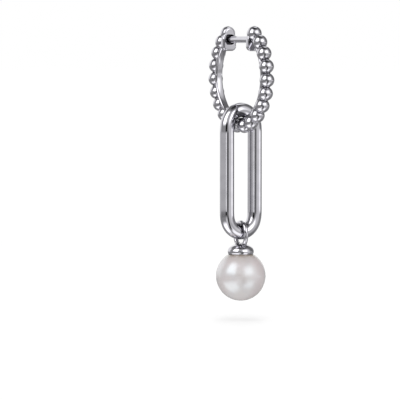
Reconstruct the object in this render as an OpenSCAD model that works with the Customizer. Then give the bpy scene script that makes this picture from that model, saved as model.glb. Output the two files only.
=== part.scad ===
// Pearl drop earring: a hinged beaded hoop, a long oval link and a pearl on a cap with a soldered bail.
// Millimetres. The origin is on the axis of the ear post, midway between the two ends of the hoop.
// Z is up, Y runs along the ear post from the front half to the back half, and X is across the hoop.

/* [Hoop] */
// Distance from the axis of the ear post down to the middle of the hoop
hoop_drop = 5.46; // [5.4:0.02:5.52]
// Radius of the circle that the middles of the beads lie on
bead_circle_r = 7.44; // [7.4:0.02:7.5]
// Radius of one bead
bead_r = 1.11; // [1.06:0.01:1.14]
// Beads on each half of the hoop
beads_per_half = 10; // [8:1:10]
// Angle from one bead to the next, in degrees
bead_step = 15.68; // [15.5:0.02:15.8]
// Inner radius of the plain band
band_r = 6.24; // [6.22:0.01:6.3]
// Thickness of the band, measured outwards
band_t = 0.6; // [0.5:0.05:0.7]
// Width of the band, across the hoop
band_w = 1.2; // [1.1:0.02:1.24]
// Radius that breaks the edges of the band
band_edge_r = 0.16; // [0.12:0.01:0.22]

/* [Ends and post] */
// Distance between the flat faces of the two ends
mouth = 6.3; // [6.2:0.05:6.4]
// Width of an end plate, below its taper
plate_w = 2.32; // [2.2:0.02:2.4]
// Radius of the round top of an end plate
plate_round_r = 0.88; // [0.8:0.01:0.94]
// Height above the axis of the post where an end plate starts to narrow
plate_taper_z = 0.1; // [0:0.05:0.3]
// Thickness of an end plate
plate_t = 0.8; // [0.7:0.05:0.9]
// Top of an end plate above the axis of the post
plate_top = 1.86; // [1.84:0.01:2]
// Bottom of an end plate below the axis of the post
plate_drop = 1.7; // [1.6:0.05:1.8]
// Radius of the lower corners of an end plate
plate_corner_r = 0.7; // [0.5:0.05:0.8]
// Radius of the ear post
post_r = 0.5; // [0.45:0.01:0.5]
// Radius of the groove near the tip of the post
groove_r = 0.4; // [0.36:0.01:0.41]
// Radius of the tip where it starts, beyond the groove
tip_r = 0.48; // [0.43:0.01:0.49]
// Radius of the end of the tip
tip_end_r = 0.38; // [0.34:0.01:0.41]
// Width of the socket that takes the tip of the post
socket_w = 1.36; // [1.2:0.02:1.4]
// Height of the socket
socket_h = 1.5; // [1.4:0.02:1.56]
// Depth of the socket
socket_depth = 0.72; // [0.7:0.01:0.76]

/* [Hinge] */
// Distance from the middle of the hoop down to the hinge pin
hinge_circle_r = 7.62; // [7.6:0.01:7.66]
// Radius of the hinge knuckles
knuckle_r = 0.52; // [0.48:0.01:0.54]
// Width of the middle knuckle
middle_knuckle_w = 0.54; // [0.5:0.02:0.6]
// Width over both outer knuckles, and length of the hinge pin
barrel_w = 1.6; // [1.5:0.05:1.7]
// Radius of the hinge pin
hinge_pin_r = 0.25; // [0.22:0.01:0.28]
// Clearance around the pin in the middle knuckle
pin_clearance = 0.04; // [0.03:0.01:0.06]
// Gap between parts that pass each other at the hinge
hinge_gap = 0.06; // [0.05:0.01:0.08]

/* [Long link] */
// Radius of the wire of the link
link_wire_r = 1.08; // [1.04:0.01:1.1]
// Width over the outside of the link
link_w = 7; // [6.94:0.02:7.1]
// Length over the outside of the link
link_len = 20.54; // [19:0.02:22]
// Gap between the link and the band it hangs on
link_gap = 0.115; // [0.1:0.005:0.14]

/* [Bail and cap] */
// Radius of the wire of the bail
bail_wire_r = 0.34; // [0.3:0.01:0.36]
// Outer radius of the two bends of the bail
bail_r = 1.83; // [1.8:0.01:1.9]
// Length of the straight sides of the bail
bail_side = 0.53; // [0.4:0.01:0.7]
// Gap between the bail and the link it hangs on
bail_gap = 0.03; // [0.03:0.01:0.05]
// Depth that the bail is sunk into the top of the cap
bail_sink = 0.74; // [0.66:0.02:0.9]
// Largest radius of the cap
cap_r = 1.97; // [1.9:0.01:2.05]
// Height of the cap above its widest level
cap_crown = 1.21; // [1.15:0.01:1.3]
// Radius of the shoulder of the cap
cap_shoulder_r = 0.85; // [0.75:0.01:0.95]
// Height of the tucked-in rim below the widest level
cap_rim = 0.4; // [0.36:0.02:0.46]
// Gap between the cap and the pearl
cap_gap = 0.02; // [0.02:0.01:0.04]
// Radius of the peg that holds the pearl
peg_r = 0.4; // [0.35:0.01:0.45]
// Clearance around the peg
peg_clearance = 0.03; // [0.02:0.01:0.05]

/* [Pearl] */
// Radius of the pearl
pearl_r = 3.75; // [3.7:0.01:3.8]
// Depth of the hole for the peg, below the top of the pearl
pearl_hole = 5; // [3:0.1:5.5]

/* [Hidden] */
$fn = 96;
eps = 0.05;
far = 30;
silver = [0.79, 0.79, 0.8];
nacre = [0.93, 0.9, 0.88];

face_y = mouth / 2;
band_mid_r = band_r + band_t / 2;
// The band runs up to the middle of the end plate's thickness
band_turn = 180 - asin((face_y + plate_t / 2) / band_mid_r);
hinge_z = -hoop_drop - hinge_circle_r;
// Each half is cut back to this radius where the other half's knuckles turn
hinge_reach_r = knuckle_r + hinge_gap + 0.02;
hinge_side = middle_knuckle_w / 2 + hinge_gap / 2;
hinge_cut_w = 2;
pin_seat_clearance = 0.01;

groove_start = face_y + 0.1;
groove_len = 0.2;
tip_len = 0.35;
socket_corner_r = 0.35;

link_bend_r = link_w / 2 - link_wire_r;
link_top_z = -hoop_drop - band_r + link_gap + 2 * link_wire_r;
link_upper_z = link_top_z - link_w / 2;
link_lower_z = link_top_z - link_len + link_w / 2;
link_seat_z = link_lower_z - link_bend_r;

bail_bend_r = bail_r - bail_wire_r;
bail_upper_z = link_seat_z + link_wire_r + bail_gap - (bail_bend_r - bail_wire_r);
bail_lower_z = bail_upper_z - bail_side;
cap_top_z = bail_lower_z - bail_r + bail_sink;
cap_wide_z = cap_top_z - cap_crown;
cap_shoulder_x = cap_r - cap_shoulder_r;
// The crown is an arc that runs smoothly into the shoulder's arc
cap_rise = cap_crown - cap_shoulder_r;
cap_crown_below = (pow(cap_shoulder_x, 2) - pow(cap_rise, 2)) / (2 * cap_rise);
cap_crown_r = cap_crown_below + cap_crown;
cap_rim_x = cap_shoulder_x + sqrt(pow(cap_shoulder_r, 2) - pow(cap_rim, 2));
// The pearl's surface meets the rim of the cap
pearl_z = cap_wide_z - cap_rim - sqrt(pow(pearl_r + cap_gap, 2) - pow(cap_rim_x, 2));
peg_end_gap = 0.1;
peg_end_z = pearl_z + pearl_r - pearl_hole + peg_end_gap;

// A rectangle with round corners, centred on the origin
module rounded_rect(w, h, r) {
    square([w - 2 * r, h], center = true);
    square([w, h - 2 * r], center = true);
    for (sx = [-1, 1], sy = [-1, 1])
        translate([sx * (w / 2 - r), sy * (h / 2 - r)])
            circle(r);
}

// Half a ring of round wire in the XZ plane, arching up with side = 1 and down with side = -1
module wire_bend(bend_r, wire_r, side) {
    rotate([side * 90, 0, 0])
        rotate_extrude(angle = 180)
            translate([bend_r, 0])
                circle(wire_r);
}

// A closed oval of round wire in the XZ plane: a bend at each end and two straight sides
module wire_oval(bend_r, wire_r, upper_z, lower_z) {
    translate([0, 0, upper_z])
        wire_bend(bend_r, wire_r, 1);
    translate([0, 0, lower_z])
        wire_bend(bend_r, wire_r, -1);
    for (side = [-1, 1])
        translate([side * bend_r, 0, lower_z])
            cylinder(r = wire_r, h = upper_z - lower_z);
}

// A cylinder along X, centred on the hinge pin's axis
module along_hinge(r, w) {
    translate([-w / 2, 0, hinge_z])
        rotate([0, 90, 0])
            cylinder(r = r, h = w);
}

// The plain band of one half, from the bottom of the hoop up into its end plate
module band_half() {
    translate([0, 0, -hoop_drop])
        rotate([0, 90, 0])
            rotate_extrude(angle = band_turn)
                translate([band_mid_r, 0])
                    rounded_rect(band_t, band_w, band_edge_r);
}

// The beads of one half, evenly spaced on both sides of the bottom of the hoop
module bead_row() {
    for (k = [1 : beads_per_half]) {
        turn = (k - 0.5) * bead_step;
        translate([0, bead_circle_r * sin(turn), -hoop_drop - bead_circle_r * cos(turn)])
            sphere(bead_r);
    }
}

// The flat plate that ends one half: its sides taper a little to a round top, and its lower corners are round
module end_plate() {
    half_w = plate_w / 2;
    round_z = plate_top - plate_round_r;
    narrowing = round_z - plate_taper_z;
    // How far above level, on the round top, the straight taper meets it
    taper_turn = acos(plate_round_r / norm([half_w, narrowing])) - atan2(narrowing, half_w);
    taper_x = plate_round_r * cos(taper_turn);
    taper_z = round_z + plate_round_r * sin(taper_turn);
    corner_x = half_w - plate_corner_r;
    corner_z = plate_corner_r - plate_drop;
    translate([0, face_y + plate_t, 0])
        rotate([90, 0, 0])
            linear_extrude(plate_t) {
                translate([0, round_z])
                    circle(plate_round_r);
                polygon([
                    [-half_w, corner_z], [half_w, corner_z], [half_w, plate_taper_z],
                    [taper_x, taper_z], [-taper_x, taper_z], [-half_w, plate_taper_z]
                ]);
                translate([-corner_x, -plate_drop])
                    square([2 * corner_x, 2 * plate_corner_r]);
                for (side = [-1, 1])
                    translate([side * corner_x, corner_z])
                        circle(plate_corner_r);
            }
}

// The shape that both halves share, made on the +Y side and cut flat at its two ends
module plain_half() {
    difference() {
        union() {
            band_half();
            bead_row();
            end_plate();
        }
        translate([-far / 2, hinge_gap / 2 - far, -far])
            cube([far, far, far - hoop_drop]);
        translate([-far / 2, face_y - far, -hoop_drop + band_r / 4])
            cube([far, far, far]);
    }
}

// The post, with a groove near its tapered tip that the back half snaps over
module ear_post() {
    post_start = -face_y - plate_t / 2;
    tip_start = groove_start + groove_len;
    rotate([-90, 0, 0])
        rotate_extrude()
            polygon([
                [0, post_start], [post_r, post_start], [post_r, groove_start],
                [groove_r, groove_start + groove_len / 2], [tip_r, tip_start],
                [tip_end_r, tip_start + tip_len], [0, tip_start + tip_len]
            ]);
}

// The slot in the back plate that the tip of the post enters, with room for the back half to turn
module socket() {
    translate([0, face_y + socket_depth, 0])
        rotate([90, 0, 0])
            linear_extrude(socket_depth + eps)
                rounded_rect(socket_w, socket_h, socket_corner_r);
}

// Both outer knuckles of the hinge
module outer_knuckles() {
    knuckle_w = (barrel_w - middle_knuckle_w) / 2 - hinge_gap / 2;
    for (side = [-1, 1])
        translate([side * (barrel_w - knuckle_w) / 2, 0, 0])
            along_hinge(knuckle_r, knuckle_w);
}

// Front half of the hoop, with the post and the two outer knuckles soldered on
module front_half() {
    color(silver)
        difference() {
            union() {
                difference() {
                    mirror([0, 1, 0])
                        plain_half();
                    along_hinge(hinge_reach_r, 2 * hinge_side);
                }
                outer_knuckles();
                ear_post();
            }
            along_hinge(hinge_pin_r + pin_seat_clearance, barrel_w + hinge_cut_w);
        }
}

// Back half of the hoop, with the socket for the post and the middle knuckle
module back_half() {
    color(silver)
        difference() {
            union() {
                difference() {
                    plain_half();
                    socket();
                    for (side = [-1, 1])
                        translate([side * (hinge_cut_w + middle_knuckle_w) / 2, 0, 0])
                            along_hinge(hinge_reach_r, hinge_cut_w);
                }
                along_hinge(knuckle_r, middle_knuckle_w);
            }
            along_hinge(hinge_pin_r + pin_clearance, barrel_w + hinge_cut_w);
        }
}

// The pin that the back half turns on
module hinge_pin() {
    color(silver)
        along_hinge(hinge_pin_r, barrel_w);
}

// The long oval link of round wire, across the plane of the hoop
module long_link() {
    color(silver)
        wire_oval(link_bend_r, link_wire_r, link_upper_z, link_lower_z);
}

// Half of the cap's section: a wide arc for the crown, a small one for the shoulder and a tucked-in rim
module cap_section() {
    reach = cap_crown_r + 1;
    lean = atan2(cap_crown_below, cap_shoulder_x);
    difference() {
        union() {
            intersection() {
                translate([0, cap_wide_z - cap_crown_below])
                    circle(cap_crown_r);
                translate([0, cap_wide_z - cap_crown_below])
                    polygon([[0, 0], [reach * cos(lean), reach * sin(lean)], [0, reach]]);
            }
            translate([cap_shoulder_x, cap_wide_z])
                circle(cap_shoulder_r);
            translate([0, cap_wide_z - cap_rim])
                square([cap_shoulder_x, cap_rim + cap_shoulder_r / 2]);
        }
        translate([-cap_r, cap_wide_z - cap_rim - 2 * cap_r])
            square([3 * cap_r, 2 * cap_r]);
        translate([-2 * cap_r, cap_wide_z - cap_r])
            square([2 * cap_r, 3 * cap_r]);
    }
}

// The cap, with its oval bail soldered on top and the peg that goes into the pearl
module pearl_cap() {
    color(silver) {
        difference() {
            rotate_extrude()
                cap_section();
            translate([0, 0, pearl_z])
                sphere(pearl_r + cap_gap);
        }
        translate([0, 0, peg_end_z])
            cylinder(r = peg_r, h = cap_wide_z + cap_rise / 2 - peg_end_z);
        rotate([0, 0, 90])
            wire_oval(bail_bend_r, bail_wire_r, bail_upper_z, bail_lower_z);
    }
}

// The round pearl, drilled part of the way for the peg
module pearl() {
    color(nacre)
        difference() {
            translate([0, 0, pearl_z])
                sphere(pearl_r);
            translate([0, 0, pearl_z + pearl_r - pearl_hole])
                cylinder(r = peg_r + peg_clearance, h = pearl_hole + 1);
        }
}

front_half();
back_half();
hinge_pin();
long_link();
pearl_cap();
pearl();
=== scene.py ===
"""The looks of a pearl drop earring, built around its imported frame.

Sizes are in millimetres, as in the part's own source, and become metres when a mesh is made. Each shape is
worked out as whole arrays: rows run along a path or an outline, and columns run round it.
"""
from __future__ import annotations

import logging
import math
from dataclasses import dataclass, field
from enum import Enum
from typing import Any

import bmesh
import bpy
import numpy as np
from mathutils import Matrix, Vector

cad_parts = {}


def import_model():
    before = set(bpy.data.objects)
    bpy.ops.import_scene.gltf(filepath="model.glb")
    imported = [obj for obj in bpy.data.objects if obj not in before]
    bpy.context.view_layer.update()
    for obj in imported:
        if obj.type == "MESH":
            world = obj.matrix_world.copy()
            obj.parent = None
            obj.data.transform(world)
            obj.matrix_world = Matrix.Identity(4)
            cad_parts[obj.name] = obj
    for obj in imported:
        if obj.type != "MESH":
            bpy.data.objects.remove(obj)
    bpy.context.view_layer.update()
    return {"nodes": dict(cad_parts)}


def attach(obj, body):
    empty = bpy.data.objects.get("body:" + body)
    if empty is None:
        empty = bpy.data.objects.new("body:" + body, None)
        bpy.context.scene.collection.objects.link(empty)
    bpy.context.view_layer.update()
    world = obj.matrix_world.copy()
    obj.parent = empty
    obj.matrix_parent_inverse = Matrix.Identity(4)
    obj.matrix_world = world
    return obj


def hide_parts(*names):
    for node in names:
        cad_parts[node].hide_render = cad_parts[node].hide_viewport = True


MM = 0.001
LOG = logging.getLogger("earring")
Colour = tuple[float, float, float]

# Lengths in millimetres: mesh points closer than the first are merged, edges and outline steps shorter than
# the second count as none, and a guard point stands at most the third from the bend that it guards.
MERGED = 0.0004
TINY = 0.0001
GUARD_REACH = 0.03


class Side(Enum):
    """The two halves of the hoop, by the sign of their Y."""

    FRONT = -1
    BACK = 1


class Wire:
    """A node's output, with operators that add Math or Vector Math nodes behind it."""

    def __init__(self, maker: NodeMaker, socket: bpy.types.NodeSocket) -> None:
        """Keeps the socket and the maker of its tree."""
        self.maker = maker
        self.socket = socket

    def _join(self, operation: str, left: Wire | float, right: Wire | float) -> Wire:
        """Adds one Math node, or a Vector Math node where a side is a vector.

        Args:
            operation: the operation's name in Blender.
            left: the first side.
            right: the second side.

        Returns:
            The result.
        """
        sides = [s.socket.type for s in (left, right) if isinstance(s, Wire)]
        if "VECTOR" not in sides:
            return self.maker.add("ShaderNodeMath", {"operation": operation}, {0: left, 1: right})
        if operation == "MULTIPLY" and not (isinstance(right, Wire) and right.socket.type == "VECTOR"):
            return self.maker.add("ShaderNodeVectorMath", {"operation": "SCALE"}, {0: left, "Scale": right})
        full = [s if isinstance(s, Wire) else (s, s, s) for s in (left, right)]
        return self.maker.add("ShaderNodeVectorMath", {"operation": operation}, {0: full[0], 1: full[1]})

    def __add__(self, other: Wire | float) -> Wire:
        """The sum."""
        return self._join("ADD", self, other)

    def __radd__(self, other: float) -> Wire:
        """The sum, with the number first."""
        return self._join("ADD", other, self)

    def __sub__(self, other: Wire | float) -> Wire:
        """The difference."""
        return self._join("SUBTRACT", self, other)

    def __rsub__(self, other: float) -> Wire:
        """The difference, with the number first."""
        return self._join("SUBTRACT", other, self)

    def __mul__(self, other: Wire | float) -> Wire:
        """The product."""
        return self._join("MULTIPLY", self, other)

    def __rmul__(self, other: float) -> Wire:
        """The product, with the number first."""
        return self._join("MULTIPLY", self, other)

    def __abs__(self) -> Wire:
        """The size without its sign."""
        return self.maker.add("ShaderNodeMath", {"operation": "ABSOLUTE"}, {0: self})

    def dot(self, other: tuple[float, float, float]) -> Wire:
        """The dot product with a fixed vector."""
        settings = {"operation": "DOT_PRODUCT"}
        return self.maker.add("ShaderNodeVectorMath", settings, {0: self, 1: other}, "Value")

    def smooth(self, low: float, high: float) -> Wire:
        """A smooth step from 0 at low to 1 at high, where low may be the larger."""
        values = {"Value": self, "From Min": low, "From Max": high, "To Min": 0.0, "To Max": 1.0}
        return self.maker.add("ShaderNodeMapRange", {"interpolation_type": "SMOOTHSTEP"}, values)


class NodeMaker:
    """Adds nodes to one shader tree, which it empties first.

    A Mix node has separate sockets for numbers and for colours, which are found by their places.
    """

    NUMBER_INPUTS = (2, 3)
    COLOUR_INPUTS = (6, 7)
    COLOUR_OUTPUT = 2

    def __init__(self, tree: bpy.types.NodeTree) -> None:
        """Takes the tree and clears it."""
        self.tree = tree
        tree.nodes.clear()

    def add(
        self,
        kind: str,
        settings: dict[str, Any] | None = None,
        values: dict[int | str, Any] | None = None,
        out: int | str = 0,
    ) -> Wire:
        """Adds a node of any type.

        Args:
            kind: the node's type.
            settings: its own settings, set first.
            values: numbers, colours or links for its sockets, by name or place.
            out: the output that is wanted.

        Returns:
            That output.
        """
        node = self.tree.nodes.new(kind)
        for name, value in (settings or {}).items():
            setattr(node, name, value)
        for name, value in (values or {}).items():
            if isinstance(value, Wire):
                self.tree.links.new(value.socket, node.inputs[name])
            else:
                node.inputs[name].default_value = value
        return Wire(self, node.outputs[out] if len(node.outputs) else node.inputs[0])

    def mix(self, factor: Wire | float, first: Any, second: Any) -> Wire:
        """Mixes two colours.

        Args:
            factor: 0 for the first and 1 for the second.
            first: a colour or a link.
            second: a colour or a link.

        Returns:
            The mixed colour.
        """
        ends = [c if isinstance(c, Wire) else (*c, 1.0) for c in (first, second)]
        values = {0: factor, **dict(zip(self.COLOUR_INPUTS, ends))}
        return self.add("ShaderNodeMix", {"data_type": "RGBA"}, values, self.COLOUR_OUTPUT)

    def blend(self, factor: Wire, first: Wire | float, second: Wire | float) -> Wire:
        """Mixes two numbers by a factor from 0 to 1."""
        values = {0: factor, **dict(zip(self.NUMBER_INPUTS, (first, second)))}
        return self.add("ShaderNodeMix", {"data_type": "FLOAT"}, values)

    def millimetres(self) -> Wire:
        """The object's own coordinates, in millimetres."""
        return self.add("ShaderNodeTexCoord", out="Object") * (1 / MM)

    def noise(self, place: Wire, per_mm: float, detail: float = 3.0) -> Wire:
        """Soft noise from 0 to 1 with a number of grains to the millimetre."""
        values = {"Vector": place, "Scale": per_mm, "Detail": detail}
        return self.add("ShaderNodeTexNoise", values=values)

    def bump(self, height: Wire, tallest: float, under: Wire | None = None) -> Wire:
        """A normal that is tilted by a height from 0 to 1.

        Args:
            height: the height at each place.
            tallest: how many millimetres a height of 1 is.
            under: the normal to start from, where it isn't the surface's own.

        Returns:
            The new normal.
        """
        values = {"Strength": 1.0, "Distance": tallest * MM, "Height": height}
        if under is not None:
            values["Normal"] = under
        return self.add("ShaderNodeBump", values=values)

    def attribute(self, name: str) -> Wire:
        """A number that the mesh holds at each point."""
        return self.add("ShaderNodeAttribute", {"attribute_name": name}, out="Fac")


def new_material(name: str) -> tuple[bpy.types.Material, NodeMaker]:
    """A new material and the maker of its emptied tree.

    Args:
        name: the material's name.

    Returns:
        The material and the maker of its tree.
    """
    material = bpy.data.materials.new(name)
    material.use_nodes = True
    return material, NodeMaker(material.node_tree)


@dataclass(frozen=True)
class SilverFinish:
    """Bright polished silver: faint hand-polishing waves and fine hairlines, with painted shade that
    darkens and dulls its creases.
    """

    name: str = "polished_silver"
    bright: Colour = (0.83, 0.819, 0.872)
    dull: Colour = (0.77, 0.759, 0.812)
    # Colour of the painted shade that darkens creases, necks, seams, the slot and the cap's rim.
    crease: Colour = (0.1, 0.097, 0.108)
    smoothest: float = 0.035
    roughest: float = 0.1
    crease_roughness: float = 0.38
    cloud_per_mm: float = 0.8
    cloud_detail: float = 4.0
    cloud_low: float = 0.35
    cloud_high: float = 0.65
    wave_per_mm: float = 0.22
    wave_detail: float = 1.0
    wave_height: float = 0.016
    hairline_per_mm: float = 9.0
    hairline_detail: float = 2.0
    hairline_squeeze: float = 0.12
    hairline_height: float = 0.00012

    def make(self) -> bpy.types.Material:
        """Builds the material.

        Returns:
            The material.
        """
        material, nodes = new_material(self.name)
        place = nodes.millimetres()
        cloud = nodes.noise(place, self.cloud_per_mm, self.cloud_detail)
        cloud = cloud.smooth(self.cloud_low, self.cloud_high)
        squeeze = (1.0, 1.0, self.hairline_squeeze)
        upright = nodes.add("ShaderNodeMapping", values={"Vector": place, "Scale": squeeze})
        hairline = nodes.noise(upright, self.hairline_per_mm, self.hairline_detail)
        # The mark read here is painted shade: it darkens the silver and makes it duller in creases and
        # recesses.
        crease = nodes.attribute("crease")
        polished = nodes.mix(cloud, self.bright, self.dull)
        spread = (self.roughest - self.smoothest) * cloud * hairline + self.smoothest
        waves = nodes.bump(nodes.noise(place, self.wave_per_mm, self.wave_detail), self.wave_height)
        sockets = {
            "Metallic": 1.0,
            "Base Color": nodes.mix(crease, polished, self.crease),
            "Roughness": nodes.blend(crease, spread, self.crease_roughness),
            "Normal": nodes.bump(hairline, self.hairline_height, waves),
        }
        shader = nodes.add("ShaderNodeBsdfPrincipled", values=sockets)
        nodes.add("ShaderNodeOutputMaterial", values={"Surface": shader})
        return material


@dataclass(frozen=True)
class NacreFinish:
    """Pearl: a soft deep body under a clear glossy skin, with faint cloudy tints."""

    name: str = "nacre"
    pale: Colour = (0.75, 0.678, 0.65)
    rosy: Colour = (0.745, 0.643, 0.637)
    cool: Colour = (0.72, 0.675, 0.675)
    # Colour of the painted shadow that the cap casts on the pearl just under its rim.
    contact: Colour = (0.36, 0.27, 0.19)
    rosy_per_mm: float = 0.32
    rosy_low: float = 0.35
    rosy_high: float = 0.65
    cool_per_mm: float = 0.5
    cool_low: float = 0.4
    cool_high: float = 0.7
    cool_share: float = 0.6
    cool_shift: float = 40.0
    roughness_low: float = 0.26
    roughness_high: float = 0.34
    body_ior: float = 2.8
    body_gloss: tuple[float, float, float, float] = (0.66, 0.88, 1.0, 1.0)
    coat: float = 1.0
    coat_roughness: float = 0.2
    coat_ior: float = 1.7
    grain_per_mm: float = 5.0
    grain_detail: float = 4.0
    grain_height: float = 0.0006

    def make(self) -> bpy.types.Material:
        """Builds the material.

        Returns:
            The material.
        """
        material, nodes = new_material(self.name)
        place = nodes.millimetres()
        rosy = nodes.noise(place, self.rosy_per_mm).smooth(self.rosy_low, self.rosy_high)
        cool = nodes.noise(place + self.cool_shift, self.cool_per_mm)
        cool = cool.smooth(self.cool_low, self.cool_high)
        body = nodes.mix(cool * self.cool_share, nodes.mix(rosy, self.pale, self.rosy), self.cool)
        grain = nodes.noise(place, self.grain_per_mm, self.grain_detail)
        sockets = {
            # The body turns to the painted shadow's colour under the cap.
            "Base Color": nodes.mix(nodes.attribute("contact"), body, self.contact),
            "Roughness": grain * (self.roughness_high - self.roughness_low) + self.roughness_low,
            "IOR": self.body_ior,
            "Specular Tint": self.body_gloss,
            "Coat Weight": self.coat,
            "Coat Roughness": self.coat_roughness,
            "Coat IOR": self.coat_ior,
            "Normal": nodes.bump(grain, self.grain_height),
        }
        shader = nodes.add("ShaderNodeBsdfPrincipled", values=sockets)
        nodes.add("ShaderNodeOutputMaterial", values={"Surface": shader})
        return material


@dataclass
class Skin:
    """One closed surface on a grid of points, with numbers held at each point.

    Rows run along the shape. Each row is a closed ring. Where the rows don't close on themselves, a fan of
    triangles to the middle of the first and of the last ring closes the ends.
    """

    points: np.ndarray
    closed: bool = False
    marks: dict[str, np.ndarray] = field(default_factory=dict)

    def arrays(self) -> tuple[np.ndarray, np.ndarray, dict[str, np.ndarray]]:
        """Works out the points and triangles.

        Returns:
            The points, the triangles, which face outwards, and the marks at each point.
        """
        rows, columns, _ = self.points.shape
        flat = self.points.reshape(-1, 3)
        index = np.arange(rows * columns).reshape(rows, columns)
        below = np.roll(index, -1, 0) if self.closed else index[1:]
        here = index if self.closed else index[:-1]
        a, b, c, d = (x.ravel() for x in (here, np.roll(here, -1, 1), np.roll(below, -1, 1), below))
        triangles = [np.stack([a, b, c], 1), np.stack([a, c, d], 1)]
        marks = {name: values.ravel() for name, values in self.marks.items()}
        if not self.closed:
            middles = self.points[[0, -1]].mean(1)
            flat = np.vstack([flat, middles])
            first, last = index[0], index[-1]
            start = np.full(columns, rows * columns)
            triangles.append(np.stack([start, np.roll(first, -1), first], 1))
            triangles.append(np.stack([start + 1, last, np.roll(last, -1)], 1))
            for name, values in self.marks.items():
                marks[name] = np.append(marks[name], values[[0, -1]].mean(1))
        faces = np.vstack(triangles)
        corners = flat[faces]
        volume = np.einsum("ij,ij->i", corners[:, 0], np.cross(corners[:, 1], corners[:, 2])).sum()
        return flat, faces if volume > 0 else faces[:, ::-1], marks


def make_piece(name: str, skins: list[Skin], body: str, node: str) -> bpy.types.Object:
    """Joins closed surfaces into one piece that rides on a body and stands for a node.

    Args:
        name: the piece's name.
        skins: its surfaces, in millimetres.
        body: the body that it rides on.
        node: the node that it stands for.

    Returns:
        The piece.
    """
    parts = [skin.arrays() for skin in skins]
    starts = np.cumsum([0] + [len(p[0]) for p in parts[:-1]])
    points = np.vstack([p[0] for p in parts]) * MM
    faces = np.vstack([p[1] + s for p, s in zip(parts, starts)])
    mesh = bpy.data.meshes.new(name)
    mesh.from_pydata(points, [], faces)
    mesh.polygons.foreach_set("use_smooth", np.ones(len(faces), bool))
    for mark in sorted({m for p in parts for m in p[2]}):
        values = np.concatenate([p[2].get(mark, np.zeros(len(p[0]))) for p in parts])
        mesh.attributes.new(mark, "FLOAT", "POINT").data.foreach_set("value", values.astype(np.float32))
    drop_empty_faces(mesh)
    piece = bpy.data.objects.new(name, mesh)
    bpy.context.scene.collection.objects.link(piece)
    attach(piece, body)
    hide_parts(node)
    LOG.info("%s: %d triangles on %s", name, len(mesh.polygons), body)
    return piece


def drop_empty_faces(mesh: bpy.types.Mesh) -> None:
    """Merges points that fall together, such as those of a pole, which removes their empty faces.

    Args:
        mesh: the mesh to clean.
    """
    work = bmesh.new()
    work.from_mesh(mesh)
    bmesh.ops.remove_doubles(work, verts=work.verts, dist=MERGED * MM)
    bmesh.ops.dissolve_degenerate(work, edges=work.edges, dist=TINY * MM)
    work.to_mesh(mesh)
    work.free()
    mesh.update()


def ring(count: int) -> np.ndarray:
    """Evenly spaced angles of a full turn, in radians."""
    return np.arange(count) * (2 * math.pi / count)


def quarter(steps: int) -> np.ndarray:
    """Even angles from 0 to a quarter turn, in radians."""
    return np.linspace(0, math.pi / 2, steps + 1)


def arc(centre: tuple[float, float], radius: float, first: float, last: float, steps: int) -> np.ndarray:
    """Points of a circle's arc between two angles in degrees."""
    turn = np.radians(np.linspace(first, last, steps + 1))
    return np.asarray(centre) + radius * np.stack([np.cos(turn), np.sin(turn)], 1)


def rounded_line(
    corners: list[tuple[float, float]], radii: list[float], closed: bool, steps: int = 8
) -> np.ndarray:
    """A line whose corners are arcs that touch both their sides.

    The arc of radius r at a corner starts r / tan(half of the corner's inner angle) away from it. A guard
    point stands just inside each straight stretch, at a quarter of its length at most, so that the surface
    stays flat right up to the arc.

    Args:
        corners: the sharp corners, in order.
        radii: the radius at each corner, 0 for a sharp one.
        closed: whether the last corner joins the first.
        steps: the steps in a quarter turn.

    Returns:
        The line's points.
    """
    points = np.asarray(corners, float)
    count = len(points)
    to_next = np.roll(points, -1, 0) - points
    length = np.linalg.norm(to_next, axis=1)
    ahead = to_next / length[:, None]
    behind = -np.roll(ahead, 1, 0)
    half = 0.5 * np.arccos(np.clip((ahead * behind).sum(1), -1, 1))
    radius = np.asarray(radii, float)
    if not closed:
        radius[[0, -1]] = 0
    reach = radius / np.tan(half)
    room = length - reach - np.roll(reach, -1)
    guard = np.clip(room / 4, 0, GUARD_REACH)
    line = []
    for k in range(count):
        if radius[k] == 0:
            line.append(points[k][None])
            continue
        inward = ahead[k] + behind[k]
        middle = points[k] + inward / np.linalg.norm(inward) * radius[k] / math.sin(half[k])
        start = points[k] + behind[k] * reach[k]
        end = points[k] + ahead[k] * reach[k]
        from_angle = math.atan2(*(start - middle)[::-1])
        turn = (math.atan2(*(end - middle)[::-1]) - from_angle + math.pi) % (2 * math.pi) - math.pi
        size = max(2, math.ceil(abs(turn) / (math.pi / 2) * steps))
        bend = from_angle + turn * np.linspace(0, 1, size + 1)
        rounded = middle + radius[k] * np.stack([np.cos(bend), np.sin(bend)], 1)
        line += [(start + behind[k] * guard[k - 1])[None], rounded, (end + ahead[k] * guard[k])[None]]
    joined = np.vstack(line)
    apart = np.linalg.norm(joined - np.roll(joined, 1, 0), axis=1) > TINY
    apart[0] = apart[0] or not closed
    return joined[apart]


def filled_in(line: np.ndarray, longest: float) -> np.ndarray:
    """Adds even points along each stretch of a closed line that is longer than the longest allowed.

    Args:
        line: the closed line.
        longest: the longest stretch allowed.

    Returns:
        The line with its new points.
    """
    following = np.roll(line, -1, 0)
    parts = np.maximum(1, np.ceil(np.linalg.norm(following - line, axis=1) / longest)).astype(int)
    start = np.repeat(np.arange(len(line)), parts)
    first = np.repeat(np.cumsum(parts) - parts, parts)
    share = ((np.arange(parts.sum()) - first) / parts[start])[:, None]
    return line[start] * (1 - share) + following[start] * share


def outward(line: np.ndarray) -> np.ndarray:
    """The normals of a closed anticlockwise line: its direction, turned a quarter to the right.

    Args:
        line: the closed line, anticlockwise.

    Returns:
        A normal of length 1 at each point.
    """
    along = np.roll(line, -1, 0) - np.roll(line, 1, 0)
    along /= np.linalg.norm(along, axis=1)[:, None]
    return np.stack([along[:, 1], -along[:, 0]], 1)


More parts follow.
